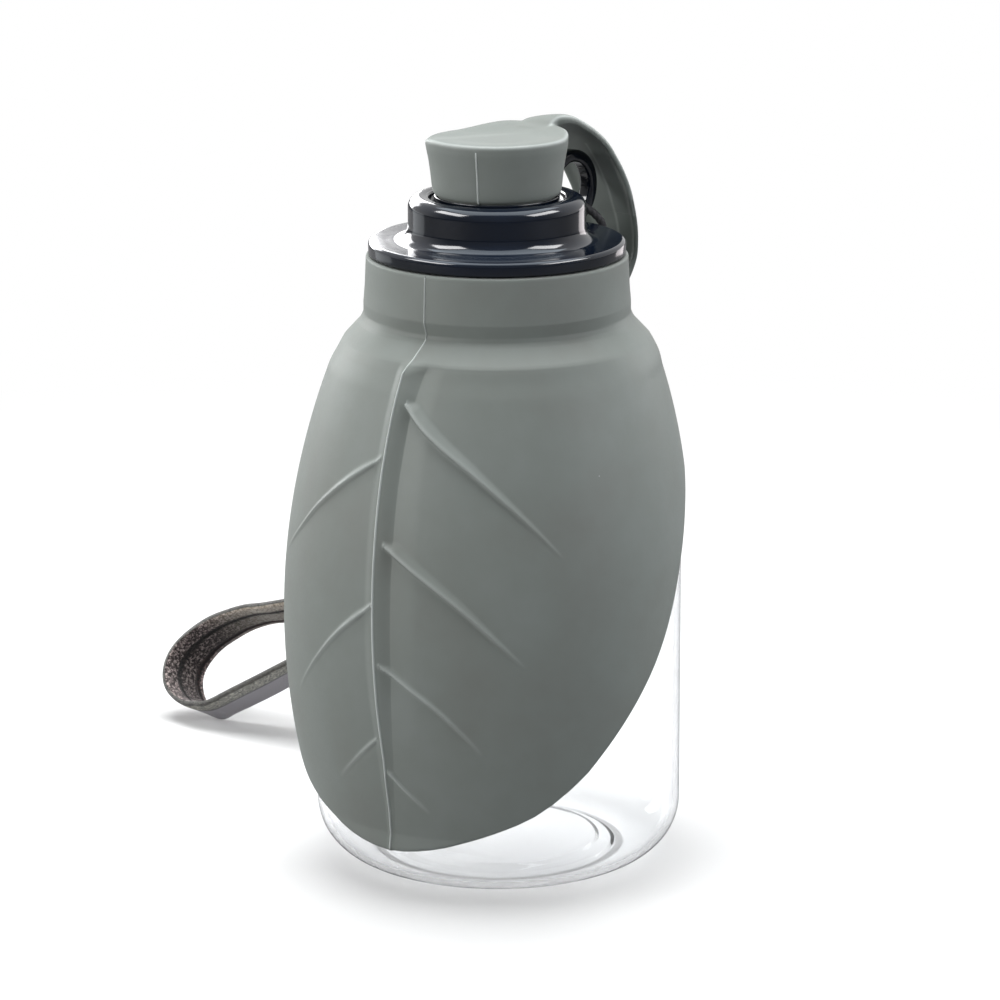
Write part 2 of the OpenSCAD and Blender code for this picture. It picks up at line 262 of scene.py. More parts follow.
def silicone_material():
    """Matte silicone: a fine orange-peel skin, cloudy dye, faint bloom, lint, and painted
    highlights on its crests and rims.
    """
    material, tree, shader = new_material("grey_silicone")
    cloud = noise(tree, 38.0, 4.0, Roughness=0.6)
    fine = noise(tree, 1500.0, 3.0, Roughness=0.6)
    dye = ramp(tree, cloud, [(0.32, linear(120, 124, 120)), (0.52, linear(124, 130, 126)),
                             (0.72, linear(129, 135, 132))])
    dust = add_node(tree, "TexVoronoi",
                    {"Vector": object_place(tree), "Scale": 210.0, "Randomness": 1.0})
    fleck = ramp(tree, dust.outputs["Distance"], [(0.0, WHITE), (0.035, BLACK)])
    rare = ramp(tree, noise(tree, 95.0, 1.0), [(0.66, BLACK), (0.70, WHITE)])
    flecked = mix_colours(tree, calculate(tree, "MULTIPLY", fleck, rare), dye,
                          (*linear(200, 202, 200), 1))
    # Painted highlight: the crest attribute lightens the colour along flash lines, rims and vein
    # crests.
    crest = add_node(tree, "Attribute", attribute_name="crest").outputs["Fac"]
    feed(tree, shader, {
        "Base Color": mix_colours(tree, crest, flecked, (*linear(214, 220, 218), 1)),
        "Roughness": map_range(tree, fine, 0.46, 0.60),
        "Normal": bump(tree, fine, 0.10, 0.00012),
        "Specular IOR Level": 0.32, "Sheen Weight": 0.06, "Sheen Roughness": 0.5})
    return material


def cap_material():
    """Glossy navy moulded plastic with faint swirl and hairline scuffs."""
    material, tree, shader = new_material("navy_plastic")
    swirl = noise(tree, 60.0, 3.0, Distortion=0.8)
    scuff = noise(tree, 420.0, 5.0, Roughness=0.7)
    feed(tree, shader, {
        "Base Color": ramp(tree, swirl, [(0.3, linear(6, 12, 22)), (0.7, linear(11, 19, 32))]),
        "Roughness": map_range(tree, scuff, 0.07, 0.16),
        "Normal": bump(tree, swirl, 0.05, 0.0001),
        "IOR": 1.46})
    return material


def clear_material():
    """Clear moulded plastic: thin, a little wavy, with a faint cool tint and painted shade that
    darkens its edges.
    """
    material, tree, shader = new_material("clear_plastic")
    # Painted reflection: the colour darkens towards edges seen side-on, standing for the dim room
    # mirrored there.
    facing = add_node(tree, "LayerWeight", {"Blend": 0.5}).outputs["Facing"]
    tint = ramp(tree, facing, [(0.0, (0.985, 0.99, 0.995)), (0.72, (0.97, 0.978, 0.985)),
                               (0.9, (0.80, 0.82, 0.85)), (1.0, (0.42, 0.45, 0.50))])
    feed(tree, shader, {
        "Base Color": tint,
        "Roughness": map_range(tree, noise(tree, 240.0, 4.0), 0.01, 0.05),
        "Normal": bump(tree, noise(tree, 28.0, 2.0), 0.05, 0.0006),
        "Transmission Weight": 1.0, "IOR": 1.22})
    return material


def seal_material():
    material, tree, shader = new_material("seal_silicone")
    tint = ramp(tree, noise(tree, 160.0, 3.0),
                [(0.3, linear(214, 216, 216)), (0.7, linear(232, 233, 232))])
    feed(tree, shader, {"Base Color": tint, "Roughness": 0.5})
    return material


# The webbing's length in widths, which is how far its UVs run along it.
WEBBING_RUN = 27.6


def webbing_material():
    """Grey-brown velvety webbing: lengthwise ribs, a sparkling pile and dark grooves."""
    material, tree, shader = new_material("webbing")
    split = add_node(tree, "SeparateXYZ", {"Vector": uv_place(tree)})
    pile = noise(tree, 1700.0, 3.0, Roughness=0.75)
    across = ramp(tree, split.outputs["X"], [
        (0.0, grey(0.70)), (0.05, grey(0.80)), (0.08, grey(0.62)), (0.29, grey(0.58)),
        (0.33, grey(0.04)), (0.41, grey(0.05)), (0.45, grey(0.42)), (0.76, grey(0.38)),
        (0.80, (0.05, 0.03, 0.03)), (0.89, (0.07, 0.04, 0.04)), (0.93, (0.85, 0.78, 0.78)),
        (1.0, (0.9, 0.85, 0.85))])
    dark_pile = ramp(tree, pile, [(0.36, linear(14, 10, 11)), (0.50, linear(88, 76, 75)),
                                  (0.63, linear(232, 215, 210))])
    painted_lit_pile = ramp(tree, pile, [(0.36, linear(146, 135, 121)), (0.50, linear(222, 209, 191)),
                                  (0.63, linear(254, 248, 236))])
    # Painted light: the upper run gets a lighter pile colour than the bend, as though lit from
    # above.
    along = ramp(tree, calculate(tree, "MULTIPLY", split.outputs["Y"], 1 / WEBBING_RUN),
                 [(0.30, WHITE), (0.40, BLACK)])
    tint = mix_colours(tree, along, dark_pile, painted_lit_pile)
    height = calculate(tree, "ADD", calculate(tree, "MULTIPLY", pile, 0.5), across)
    feed(tree, shader, {
        "Base Color": mix_colours(tree, 1.0, tint, across, blend_type="MULTIPLY"),
        "Normal": bump(tree, height, 0.9, 0.0004),
        "Roughness": 0.75, "Sheen Weight": 0.5, "Sheen Roughness": 0.35})
    return material


def webbing_back_material():
    """The webbing's smooth side: grey violet twill, a speckled band and a dark line."""
    material, tree, shader = new_material("webbing_back")
    place = add_node(tree, "Mapping", {
        "Vector": uv_place(tree), "Scale": (26, 300, 1), "Rotation": (0, 0, 0.5)})
    twill = add_node(tree, "TexWave", {
        "Vector": place.outputs["Vector"], "Scale": 1.0, "Distortion": 0.4,
        "Detail": 1.0}).outputs["Fac"]
    tint = ramp(tree, twill, [(0.2, linear(174, 170, 178)), (0.8, linear(206, 201, 205))])
    speckle = ramp(tree, noise(tree, 1700.0, 3.0, Roughness=0.75), [
        (0.36, linear(100, 100, 92)), (0.50, linear(168, 166, 154)), (0.63, linear(232, 229, 217))])
    across = add_node(tree, "SeparateXYZ", {"Vector": uv_place(tree)}).outputs["X"]
    band = ramp(tree, across, [(0.36, WHITE), (0.40, BLACK)])
    line = ramp(tree, across, [
        (0.03, grey(0.16)), (0.07, WHITE), (0.345, WHITE), (0.365, grey(0.35)),
        (0.385, grey(0.35)), (0.41, WHITE), (0.95, WHITE), (0.985, grey(0.45))])
    both = mix_colours(tree, band, tint, speckle)
    feed(tree, shader, {
        "Base Color": mix_colours(tree, 1.0, both, line, blend_type="MULTIPLY"),
        "Normal": bump(tree, twill, 0.5, 0.00015),
        "Roughness": 0.6, "Sheen Weight": 0.3})
    return material


def cord_material():
    material, tree, shader = new_material("dark_cord")
    fibre = noise(tree, 2600.0, 3.0, Roughness=0.7)
    feed(tree, shader, {
        "Base Color": ramp(tree, fibre, [(0.3, linear(22, 22, 25)), (0.7, linear(58, 57, 60))]),
        "Normal": bump(tree, fibre, 0.6, 0.0001),
        "Roughness": 0.7})
    return material


SILICONE = silicone_material()
NAVY = cap_material()
CLEAR = clear_material()
SEAL = seal_material()
WEBBING = webbing_material()
WEBBING_BACK = webbing_back_material()
CORD = cord_material()

# ------------------------ lanyard

CAP_BEARING = math.radians(4)


def from_cap(points):
    """Points of the cap's own frame, x across the eye ring and y outwards, in the shared frame."""
    points = np.asarray(points, float)
    c, s = math.cos(CAP_BEARING), math.sin(CAP_BEARING)
    return np.stack([points[:, 0] * c + points[:, 1] * s, points[:, 1] * c - points[:, 0] * s,
                     points[:, 2]], 1)


# In the cap's frame, through the eye ring.
CORD_ROUTE = [
    (-23.7, 35.6, 98.1), (-23.1, 35.3, 100.2), (-20.6, 34.0, 103.6), (-15.4, 32.4, 107.8),
    (-9.0, 31.4, 112.4), (-3.0, 31.2, 117.0), (1.0, 30.8, 119.2), (3.2, 29.2, 121.0),
    (3.4, 27.0, 123.2), (1.9, 24.4, 125.6), (0.0, 24.0, 126.2), (-1.9, 24.4, 125.6),
    (-3.4, 26.8, 123.2), (-5.0, 28.0, 120.4), (-9.0, 29.0, 114.6), (-16.0, 30.2, 107.8),
    (-22.6, 31.6, 103.0), (-24.9, 32.3, 100.4), (-25.5, 32.5, 98.1)]
# In the shared frame, from the cord down to the bend on the table and back.
WEBBING_ROUTE = [
    (-23.2, 34.2, 98.0), (-25.4, 35.6, 90.0), (-28.6, 37.4, 79.0), (-33.2, 39.2, 68.0),
    (-40.0, 41.0, 56.0), (-49.6, 42.6, 44.0), (-61.0, 43.2, 34.6), (-74.0, 42.6, 28.2),
    (-85.4, 42.0, 24.5), (-91.6, 42.0, 22.9), (-96.4, 41.6, 21.0), (-100.4, 40.8, 18.8),
    (-104.0, 39.7, 16.1), (-106.5, 38.4, 13.3), (-107.8, 37.0, 10.6), (-107.7, 35.4, 8.0),
    (-106.2, 33.8, 5.7), (-103.4, 32.4, 3.8), (-100.2, 31.5, 3.0), (-97.2, 31.0, 3.1),
    (-94.2, 31.0, 4.2), (-88.9, 31.7, 7.2), (-80.0, 33.2, 12.6), (-68.0, 35.6, 20.8),
    (-54.0, 38.6, 31.6), (-42.0, 41.0, 44.0), (-33.6, 42.0, 57.0), (-28.0, 41.4, 70.0),
    (-24.0, 39.4, 85.0), (-21.2, 37.2, 98.0)]
# The way the webbing's width lies at each point of its route.
WEBBING_SIDE = [
    *[(-0.8, 0.6, 0.0)] * 2, (-0.7, 0.7, 0.0), (-0.6, 0.8, -0.1), (-0.4, 0.9, -0.2),
    (-0.2, 0.9, -0.3), (0.0, 0.9, -0.4), (0.1, 0.8, -0.5), *[(0.2, 0.8, -0.5)] * 3,
    *[(0.3, 0.8, -0.5)] * 2, *[(0.4, 0.8, -0.4)] * 4, (0.3, 0.8, -0.4), (0.2, 0.8, -0.4),
    (0.1, 0.8, -0.5), (-0.1, 0.8, -0.5), *[(-0.2, 0.8, -0.6)] * 2, (-0.3, 0.8, -0.5),
    (-0.4, 0.8, -0.3), (-0.5, 0.8, -0.1), (-0.6, 0.8, 0.0), (-0.7, 0.7, 0.0),
    *[(-0.8, 0.6, 0.0)] * 2]
WEBBING_W = 10.0
WEBBING_T = 1.5
CORD_D = 1.6
CORD_LAY = 4.2


def unit(rows):
    return rows / np.linalg.norm(rows, axis=1)[:, None]


def frames_along(line, side=None):
    """Two directions across a line. Without side, they turn as little as they can."""
    way = unit(np.gradient(line, axis=0))
    if side is None:
        across = np.zeros_like(line)
        across[0] = np.cross(way[0], (0.3, 0.2, 1.0))
        for i in range(1, len(line)):
            across[i] = across[i - 1] - way[i] * (across[i - 1] @ way[i])
            across[i] /= np.linalg.norm(across[i])
        across[0] /= np.linalg.norm(across[0])
    else:
        across = unit(side - way * (side * way).sum(1)[:, None])
    return across, np.cross(way, across)


def make_binding():
    """A thread binding that holds both ends of the webbing, with the cord's ends between them."""
    top, bottom = (-22.2, 35.7, 98.9), (-23.87, 36.88, 91.2)
    side, face = np.array([-0.8, 0.6, 0]), np.array([0.6, 0.8, 0])
    half_w, half_t = 5.55, 2.9
    rows, count, turns = 132, 56, 11
    points = []
    for t in np.linspace(0, 1, rows + 1):
        centre = np.array([mix(a, b, t) for a, b in zip(top, bottom)])
        end = max(0.0, 1 - min(t, 1 - t) / 0.05)
        wound = 0.16 * abs(math.sin(math.pi * turns * t))
        swell = wound - 0.5 * (1 - math.sqrt(1 - end * end))
        for a in 2 * math.pi * np.arange(count) / count:
            u = math.copysign(abs(math.cos(a)) ** 0.3, math.cos(a)) * (half_w + swell)
            v = math.copysign(abs(math.sin(a)) ** 0.6, math.sin(a)) * (half_t + swell)
            points.append((centre + side * u + face * v) * MM)
    return make_object("lanyard_binding", points, tube_faces(rows + 1, count), CORD, "cap",
                       "dark_cord")


def webbing_outline(columns):
    """The webbing's section: across, thickness and u of its velvety face, then of its back.

    The face has raised bands between its two grooves, and the back has one fine groove."""
    outline = []
    for sign, grooves in ((1, ((0.28, 0.37, 0.045), (0.34, 0.845, 0.045))),
                          (-1, ((0.22, 0.37, 0.03),))):
        for k in range(columns + 1):
            u = k / columns if sign > 0 else 1 - k / columns
            x = (2 * u - 1) * (WEBBING_W / 2 * MM)
            edge = 1 - abs(2 * u - 1) ** 10
            depth = sum(deep * math.exp(-((u - place) / wide) ** 2)
                        for deep, place, wide in grooves)
            outline.append((x, sign * (WEBBING_T / 2 * MM * (0.55 + 0.45 * edge) - depth * MM), u))
    return outline


def make_webbing(binding):
    rings, columns = 620, 26
    line = curve_points(WEBBING_ROUTE, rings) * MM
    across, face = frames_along(line, curve_points(WEBBING_SIDE, rings))
    outline = webbing_outline(columns)
    count = len(outline)
    points = [line[i] + x * across[i] + y * face[i]
              for i in range(rings + 1) for x, y, u in outline]
    obj = make_object("webbing_loop", points, tube_faces(rings + 1, count), WEBBING, "cap",
                      "grey_webbing")
    mesh = obj.data
    mesh.materials.append(WEBBING_BACK)
    layer = mesh.uv_layers.new(name="UVMap")
    for polygon in mesh.polygons:
        # The velvety face has the first columns of each ring, and the back has the others.
        if polygon.index < rings * count and polygon.index % count > columns:
            polygon.material_index = 1
        for loop in polygon.loop_indices:
            ring, place = divmod(mesh.loops[loop].vertex_index, count)
            layer.data[loop].uv = (outline[place][2], ring / rings * WEBBING_RUN)
    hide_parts("lanyard_webbing")


def make_cord():
    """A laid cord: three strands twisted round one line, drawn as one lobed tube."""
    rings, sides = 520, 24
    line = from_cap(curve_points(CORD_ROUTE, rings)) * MM
    across, face = frames_along(line)
    run = np.concatenate([[0], np.cumsum(np.linalg.norm(np.diff(line, axis=0), axis=1))])
    points = []
    for i in range(rings + 1):
        twist = run[i] / (CORD_LAY * MM) * 2 * math.pi
        for j in range(sides):
            a = 2 * math.pi * j / sides
            r = CORD_D / 2 * MM * (0.88 + 0.12 * abs(math.cos(1.5 * (a - twist))))
            points.append(line[i] + r * math.cos(a) * across[i] + r * math.sin(a) * face[i])
    obj = make_object("cord_loop", points, tube_faces(rings + 1, sides), CORD, "cap", "dark_cord")
    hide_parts("lanyard_cord")


make_webbing(make_binding())
make_cord()

# ------------------------ leaf bowl

BOTTLE_R = 35.75
BOTTLE_WALL = 1.2
WALL_TOP_Z = 62.0
SHOULDER_ARC_R = 120.0
SHOULDER_TOP_Z = 100.0
BAND_TOP_Z = 119.6
LEAF_OVER_BOTTLE = 1.6
LEAF_WALL = 1.3
# The leaf stands furthest out in front at FRONT_Z and curves in above and below it, and comes to
# lie against the bottle between these angles from its tip.
FRONT_R, FRONT_Z, FRONT_CURVE = 41.9, 48.0, 268.0
FREE_TO, HUGS_FROM = 55, 125
# Heights over which the leaf turns into its neck band, and over which its veins end.
NECK_BLEND = (97.5, 101.5)
VEINS_END = (100.5, 97.5)
BAND_BORE_R = 22.9
LEAF_FIT = 0.25
BAND_LIP_R = 0.45
RIM_LIP_R = 0.65
# Angles on the leaf become lengths across it at this radius.
FLAT_R = 39.0


def bottle_wall_r(z):
    z = np.asarray(z, float)
    rise = (z - WALL_TOP_Z) ** 2
    drop = SHOULDER_ARC_R - np.sqrt(np.maximum(SHOULDER_ARC_R ** 2 - rise, 1))
    return np.where(z <= WALL_TOP_Z, BOTTLE_R, BOTTLE_R - drop)


def leaf_r(angle, z):
    """Outer radius of the folded leaf before its veins, at an angle in degrees from its tip."""
    hug = bottle_wall_r(z) + LEAF_OVER_BOTTLE
    front = FRONT_R - (z - FRONT_Z) ** 2 / FRONT_CURVE
    share = 1 - between(np.abs(angle), FREE_TO, HUGS_FROM)
    return np.maximum(hug, mix(hug, front, share))


RIM_ANGLES = [0, 5, 10, 15, 20, 25, 30, 35, 40, 45, 50, 55, 60, 67, 73, 78, 90, 100, 107, 120, 150,
              180]
RIM_HEIGHTS = [9.3, 9.5, 10.0, 10.7, 11.6, 12.7, 13.9, 15.2, 16.6, 18.3, 20.6, 23.4, 26.6, 32.2,
               37.2, 41.2, 51.0, 61.5, 69.5, 78.0, 84.0, 85.0]


def rim_z(angle):
    """Height of the leaf's rim: as read in front, and eased round the sides and back."""
    angle = np.abs(angle)
    read = np.interp(angle, RIM_ANGLES, RIM_HEIGHTS)
    eased = np.mean([np.interp(angle + turn, RIM_ANGLES, RIM_HEIGHTS)
                     for turn in np.linspace(-10, 10, 21)], axis=0)
    return mix(read, eased, between(angle, 58, 76))


MIDRIB_Z = [9.0, 18.0, 28.6, 40.7, 52.5, 64.0, 75.0, 84.0, 93.5, 98.0, 101.9, 104.1, 107.5, 115.0,
            119.6]
MIDRIB_ANGLE = [0.7, 2.1, 2.5, 1.7, 1.0, 0.5, 0.1, -0.1, 0.1, 0.4, 0.8, 1.9, 2.4, 2.3, 2.1]
# Side veins: crest as angle and height from root to tip, width of the upper flank, and height at
# the root.
VEINS = [
    ([(3.9, 96.4), (10.0, 93.2), (17.6, 89.6), (26.3, 85.6), (35.4, 80.6), (43.6, 75.4),
      (52.2, 69.0)], 2.6, 1.4),
    ([(2.6, 70.6), (13.5, 65.9), (24.6, 60.2), (33.7, 54.2), (41.6, 48.6)], 2.2, 1.2),
    ([(2.6, 47.6), (11.2, 43.8), (19.3, 39.6), (26.5, 34.5), (30.5, 31.2)], 1.1, 0.85),
    ([(3.4, 26.2), (7.9, 23.0), (12.1, 20.4), (15.0, 18.4)], 0.9, 0.75),
    ([(-1.6, 86.4), (-13.1, 81.4), (-25.2, 75.0), (-35.8, 68.5), (-48.6, 61.5)], 1.5, 0.8),
    ([(0.2, 59.2), (-11.2, 52.6), (-20.7, 46.1), (-33.2, 37.0)], 1.35, 0.72),
    ([(0.4, 32.6), (-6.9, 28.0), (-15.6, 22.4)], 0.9, 0.42),
]


def nearest_on(line, across, z):
    """How far each point is from a line, with its share of the way along and its signed side."""
    best = np.full(across.shape, 1e9)
    share = np.zeros(across.shape)
    signed = np.zeros(across.shape)
    for i in range(len(line) - 1):
        p, d = line[i], line[i + 1] - line[i]
        t = np.clip(((across - p[0]) * d[0] + (z - p[1]) * d[1]) / (d @ d), 0, 1)
        dx, dz = across - p[0] - t * d[0], z - p[1] - t * d[1]
        away = np.hypot(dx, dz)
        closer = away < best
        best = np.where(closer, away, best)
        share = np.where(closer, (i + t) / (len(line) - 1), share)
        signed = np.where(closer, np.sign(dx * -d[1] + dz * d[0]) * away, signed)
    return best, share, signed


def vein_relief(angle, z):
    """Height that the veins add, and how near each point is to a crest, from 0 to 1.

    A vein has a broad upper flank, a crest, a steep lower flank and a shallow hollow below."""
    across = np.radians(angle) * FLAT_R
    relief = np.zeros_like(across)
    crest = np.zeros_like(across)
    for route, flank_w, height in VEINS:
        line = curve_points([(math.radians(a) * FLAT_R, h) for a, h in route], 48)
        best, share, signed = nearest_on(line, across, z)
        right = route[-1][0] > 0
        upper = signed if right else -signed
        if right:
            grow, straight = 0.25 + 0.75 * smooth(share / 0.10), 0.35
        else:
            grow, straight = 0.45 + 0.55 * smooth(share / 0.2), 0.8
        width = flank_w * grow * (1 - 0.86 * share ** 0.9)
        top = height * (1 - share ** 1.6) * (0.7 + 0.3 * smooth(share / 0.1))
        fall = np.clip(best / width, 0, 1)
        upper_flank = mix(1 - fall, 1 - smooth(fall), straight)
        lower_flank = 1 - smooth(best / (width * 0.42 + 0.12))
        hollow = top * 0.30 * np.exp(-((best - 0.75 * flank_w) / (0.62 * flank_w)) ** 2)
        ends = np.where((share <= 0) | (share >= 1), np.exp(-(best / 1.2) ** 2), 1)
        crest = np.maximum(crest, (1 - share ** 2) * np.exp(-(best / 0.42) ** 2))
        relief = np.maximum(relief, top * np.where(upper > 0, upper_flank, lower_flank))
        relief -= np.where(upper < 0, hollow * ends * smooth(best / (0.6 * flank_w)), 0)
    return relief, crest


def from_midrib(angle, z):
    """Distance across the leaf from the midrib's crest."""
    return np.radians(angle - np.interp(z, MIDRIB_Z, MIDRIB_ANGLE)) * FLAT_R


def midrib_relief(angle, z):
    """Height that the midrib adds: a left flank, a thin crest of flash, and a long right flank
    down into a valley."""
    x = from_midrib(angle, z)
    body = smooth((104.6 - z) / 3.0)
    height = body * np.interp(z, [9, 18, 26, 40, 60, 80, 100],
                              [0.16, 0.22, 0.38, 0.8, 1.0, 1.1, 1.15])
    right_w = np.interp(z, [9, 18, 28, 45, 60, 80, 94, 101, 104],
                        [0.9, 1.1, 1.7, 2.7, 2.9, 3.1, 3.5, 4.6, 5.4])
    left_w = np.interp(z, [9, 18, 28, 45, 100], [1.0, 1.2, 1.8, 2.6, 3.0])
    depth = np.interp(z, [9, 24, 45, 104], [0.0, 0.04, 0.36, 0.5]) * body
    left = height * (1 - smooth(-x / left_w))
    fall = np.clip(x / right_w, 0, 1)
    right = mix(height, -depth, mix(fall, smooth(fall), 0.3))
    right = np.where(x > right_w, -depth * (1 - smooth((x - right_w) / 5.5)), right)
    flash = 0.24 * np.exp(-(np.abs(x) / 0.17) ** 2.4)
    return np.where(x < 0, left, right) + flash


# Height and outer radius from the shoulder up to the band's top, without and with a deep ledge.
NECK_PLAIN = [(97.0, 32.9), (99.0, 31.9), (100.6, 31.1), (102.0, 30.35), (103.4, 29.5),
              (104.6, 28.5), (106.6, 26.9), (108.6, 25.95), (111.0, 25.7), (113.6, 25.45),
              (119.6, 25.2)]
NECK_LEDGE = [(97.0, 32.9), (99.0, 32.0), (101.0, 31.25), (102.6, 30.65), (103.4, 30.3),
              (103.9, 29.8), (105.2, 28.0), (106.6, 26.0), (107.4, 25.15), (108.2, 25.0),
              (109.2, 25.3), (110.6, 25.75), (113.6, 25.6), (119.6, 25.2)]


def neck_r(angle, z):
    """Outer radius of the neck band. The ledge is deepest in front and fades to the sides."""
    plain, ledge = (np.interp(z, *zip(*table)) for table in (NECK_PLAIN, NECK_LEDGE))
    share = between(angle, -26, 0) * (1 - between(angle, 68, 102))
    return mix(plain, ledge, 0.22 + 0.78 * share)


def leaf_surface(angle, z):
    return mix(leaf_r(angle, z), neck_r(angle, z), between(z, *NECK_BLEND))


def fine_steps(start, end, count, spots):
    """Values from start to end, crowded near each spot of (place, half width, weight)."""
    dense = np.linspace(start, end, 6000)
    weight = np.ones_like(dense)
    for place, half, more in spots:
        weight += more * np.exp(-((dense - place) / half) ** 2)
    total = np.concatenate([[0], np.cumsum((weight[1:] + weight[:-1]) / 2)])
    return np.interp(np.linspace(0, total[-1], count), total, dense)


def lip(radius, height, lip_r, turns):
    """Columns of a round lip with its outside at radius and its middle at height."""
    return [(radius - lip_r + lip_r * math.cos(turn), height + lip_r * math.sin(turn))
            for turn in np.radians(turns)]


def make_leaf():
    rows = 330
    angles = fine_steps(-180, 180, 901, [(5, 62, 2.2), (1.3, 3.2, 16)])[:-1]
    steps = fine_steps(0, 1, rows, [(0.13, 0.05, 1.5)])
    grid_angle, grid_step = np.meshgrid(angles, steps, indexing="ij")
    low = rim_z(angles)
    z = mix(BAND_TOP_Z - BAND_LIP_R, low[:, None] + RIM_LIP_R, grid_step)
    base = leaf_surface(grid_angle, z)
    on_leaf = between(z, *VEINS_END)
    near_rim = smooth((rim_z(grid_angle) + 4.0 - z) / 4.0)
    relief, vein_crest = vein_relief(grid_angle, z)
    r = base + midrib_relief(grid_angle, z) + relief * on_leaf * (1 - 0.75 * near_rim)
    # From the band's lip down the outside, round the rim's lip, and up the inside.
    ring = np.ones(len(angles))
    columns = lip(r[:, 0], ring * (BAND_TOP_Z - BAND_LIP_R), BAND_LIP_R, [90, 60, 30])
    skin = len(columns)
    columns += [(r[:, j], z[:, j]) for j in range(rows)]
    columns += lip(r[:, -1], low + RIM_LIP_R, RIM_LIP_R, [-30, -60, -90, -120, -150, -180])
    for j in range(rows - 1, -1, -6):
        if z[:, j].min() > NECK_BLEND[1]:
            break
        thin = base[:, j] - LEAF_WALL
        over_bottle = bottle_wall_r(np.minimum(z[:, j], SHOULDER_TOP_Z)) + LEAF_FIT
        inner = np.where(z[:, j] > SHOULDER_TOP_Z, np.maximum(thin, BAND_BORE_R),
                         np.maximum(thin, over_bottle))
        columns.append((inner, z[:, j]))
    for radius, height in ((BAND_BORE_R, 105.0), (19.6, 105.0), (19.6, 106.7), (23.3, 106.7),
                           (23.3, 119.4), (23.6, BAND_TOP_Z)):
        columns.append((ring * radius, ring * height))
    turn = np.radians(angles)
    points = np.array([[c[0] * np.sin(turn), -c[0] * np.cos(turn), c[1]] for c in columns])
    points = points.transpose(2, 0, 1).reshape(-1, 3) * MM
    faces = grid_faces(len(angles), len(columns), wrap_rows=True, wrap_columns=True)
    obj = make_object("leaf", points, faces, SILICONE, "bottle_body", "grey_silicone")
    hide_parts("leaf_bowl")
    # Painted highlight along the midrib's flash line and, fainter, on the vein crests.
    flash = 0.85 * np.exp(-(np.abs(from_midrib(grid_angle, z)) / 0.2) ** 3)
    highlight_paint = np.zeros((len(angles), len(columns)))
    highlight_paint[:, skin:skin + rows] = np.maximum(flash, 0.30 * vein_crest * on_leaf)
    set_painted_highlight(obj.data, highlight_paint.ravel())


make_leaf()

# ------------------------ clear bottle


def make_bottle():
    foot_r, corner = 24.75, 11.0
    shoulder = [(float(bottle_wall_r(z)), z) for z in np.linspace(62, 100, 40)]
    # Two small rings stand under the base, inside the foot.
    outer = [(0.001, 2.5), (9.0, 2.4), (18.7, 2.1), (19.1, 2.0), (19.5, 1.35), (19.9, 1.2),
             (21.9, 1.05), (22.3, 0.95), (22.7, 0.2), (23.1, 0.0), (23.9, 0.0)]
    outer += arc(foot_r, corner, corner, -90, 0, 40)
    outer += [(BOTTLE_R, z) for z in np.linspace(12, 61, 24)]
    outer += shoulder + [(26.0, 102.1), (22.5, 103.2), (22.5, 105.0), (19.2, 105.0),
                         (19.2, 118.2), (18.9, 118.6)]
    inner = [(17.5, 118.6), (17.2, 118.2), (17.2, 103.2), (25.0, 100.9)]
    inner += [(r - BOTTLE_WALL, z - 0.7) for r, z in shoulder[::-1]]
    inner += [(BOTTLE_R - BOTTLE_WALL, z) for z in np.linspace(61, 12, 24)]
    inner += arc(foot_r, corner, corner - BOTTLE_WALL, 0, -90, 40)
    inner += [(23.4, 1.35), (21.0, 2.2), (19.0, 3.0), (17.0, 3.45), (9.0, 3.8), (0.001, 3.9)]
    obj = make_object("clear_bottle", *revolve(outer + inner), CLEAR, "bottle_body", "clear_bottle")
    obj.visible_shadow = False
    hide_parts("bottle")


def thread(wall_r, depth, start_z):
    """One helical ridge with tapered ends, sunk a little into its wall. Depth is out from it."""
    pitch, turns, half_w, sunk = 4.0, 1.5, 0.6, 0.2
    sections = 180
    points = []
    for i in range(sections + 1):
        a = 2 * math.pi * turns * i / sections
        rise = min(1.0, min(i, sections - i) / 10)
        root, crest = wall_r - math.copysign(sunk, depth), wall_r + depth * rise
        flank = mix(root, crest, 0.8)
        z = start_z + pitch * a / (2 * math.pi)
        for r, up in ((root, -1), (flank, -0.7), (crest, -0.35), (crest, 0.35), (flank, 0.7),
                      (root, 1)):
            points.append((r * math.cos(a) * MM, r * math.sin(a) * MM, (z + half_w * up) * MM))
    return points, tube_faces(sections + 1, 6)


make_bottle()
make_object("bottle_thread", *thread(wall_r=19.2, depth=1.1, start_z=108.2), CLEAR, "bottle_body",
            "clear_bottle")

# ------------------------ cap

RING_Y, RING_Z, RING_R, EYE_R, RING_W = 22.6, 129.1, 7.5, 5.1, 3.0


def make_cap():
    profile = [(20.8, 107.3), (21.0, 107.1), (22.2, 107.1), (22.4, 107.3), (22.4, 119.8),
               (24.3, 119.8)]
    profile += arc(24.35, 120.2, 0.4, -90, 0, 5)
    profile += [(24.75, 121.3)]
    profile += arc(23.85, 121.6, 0.9, 0, 90, 12)
    profile += [(21.5, 122.45), (20.6, 122.5)]
    profile += arc(19.9, 125.3, 2.8, 270, 180, 18)
    profile += [(17.1, z) for z in np.linspace(125.8, 128.2, 4)]
    profile += arc(14.8, 128.7, 2.3, 0, 88, 20)
    profile += [(14.2, 130.98), (13.8, 130.85)]
    profile += arc(13.55, 130.4, 0.45, 75, 178, 6)
    # A lip round the nozzle's seat, inside the groove under the stopper's shoulder.
    profile += [(13.0, 129.5), (12.5, 129.3), (12.15, 129.5), (12.05, 130.7)]
    profile += arc(11.85, 130.9, 0.2, 0, 180, 6)
    # The seat, the outlet and the underside.
    profile += [(11.6, 130.6), (11.15, 126.5), (10.9, 126.3), (3.9, 126.3), (3.5, 126.0),
                (3.5, 123.7), (11.55, 123.7), (11.55, 120.2), (20.8, 120.2)]
    obj = make_object("cap_body", *revolve(profile, closed=True), NAVY, "cap", "navy_plastic")
    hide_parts("screw_cap")


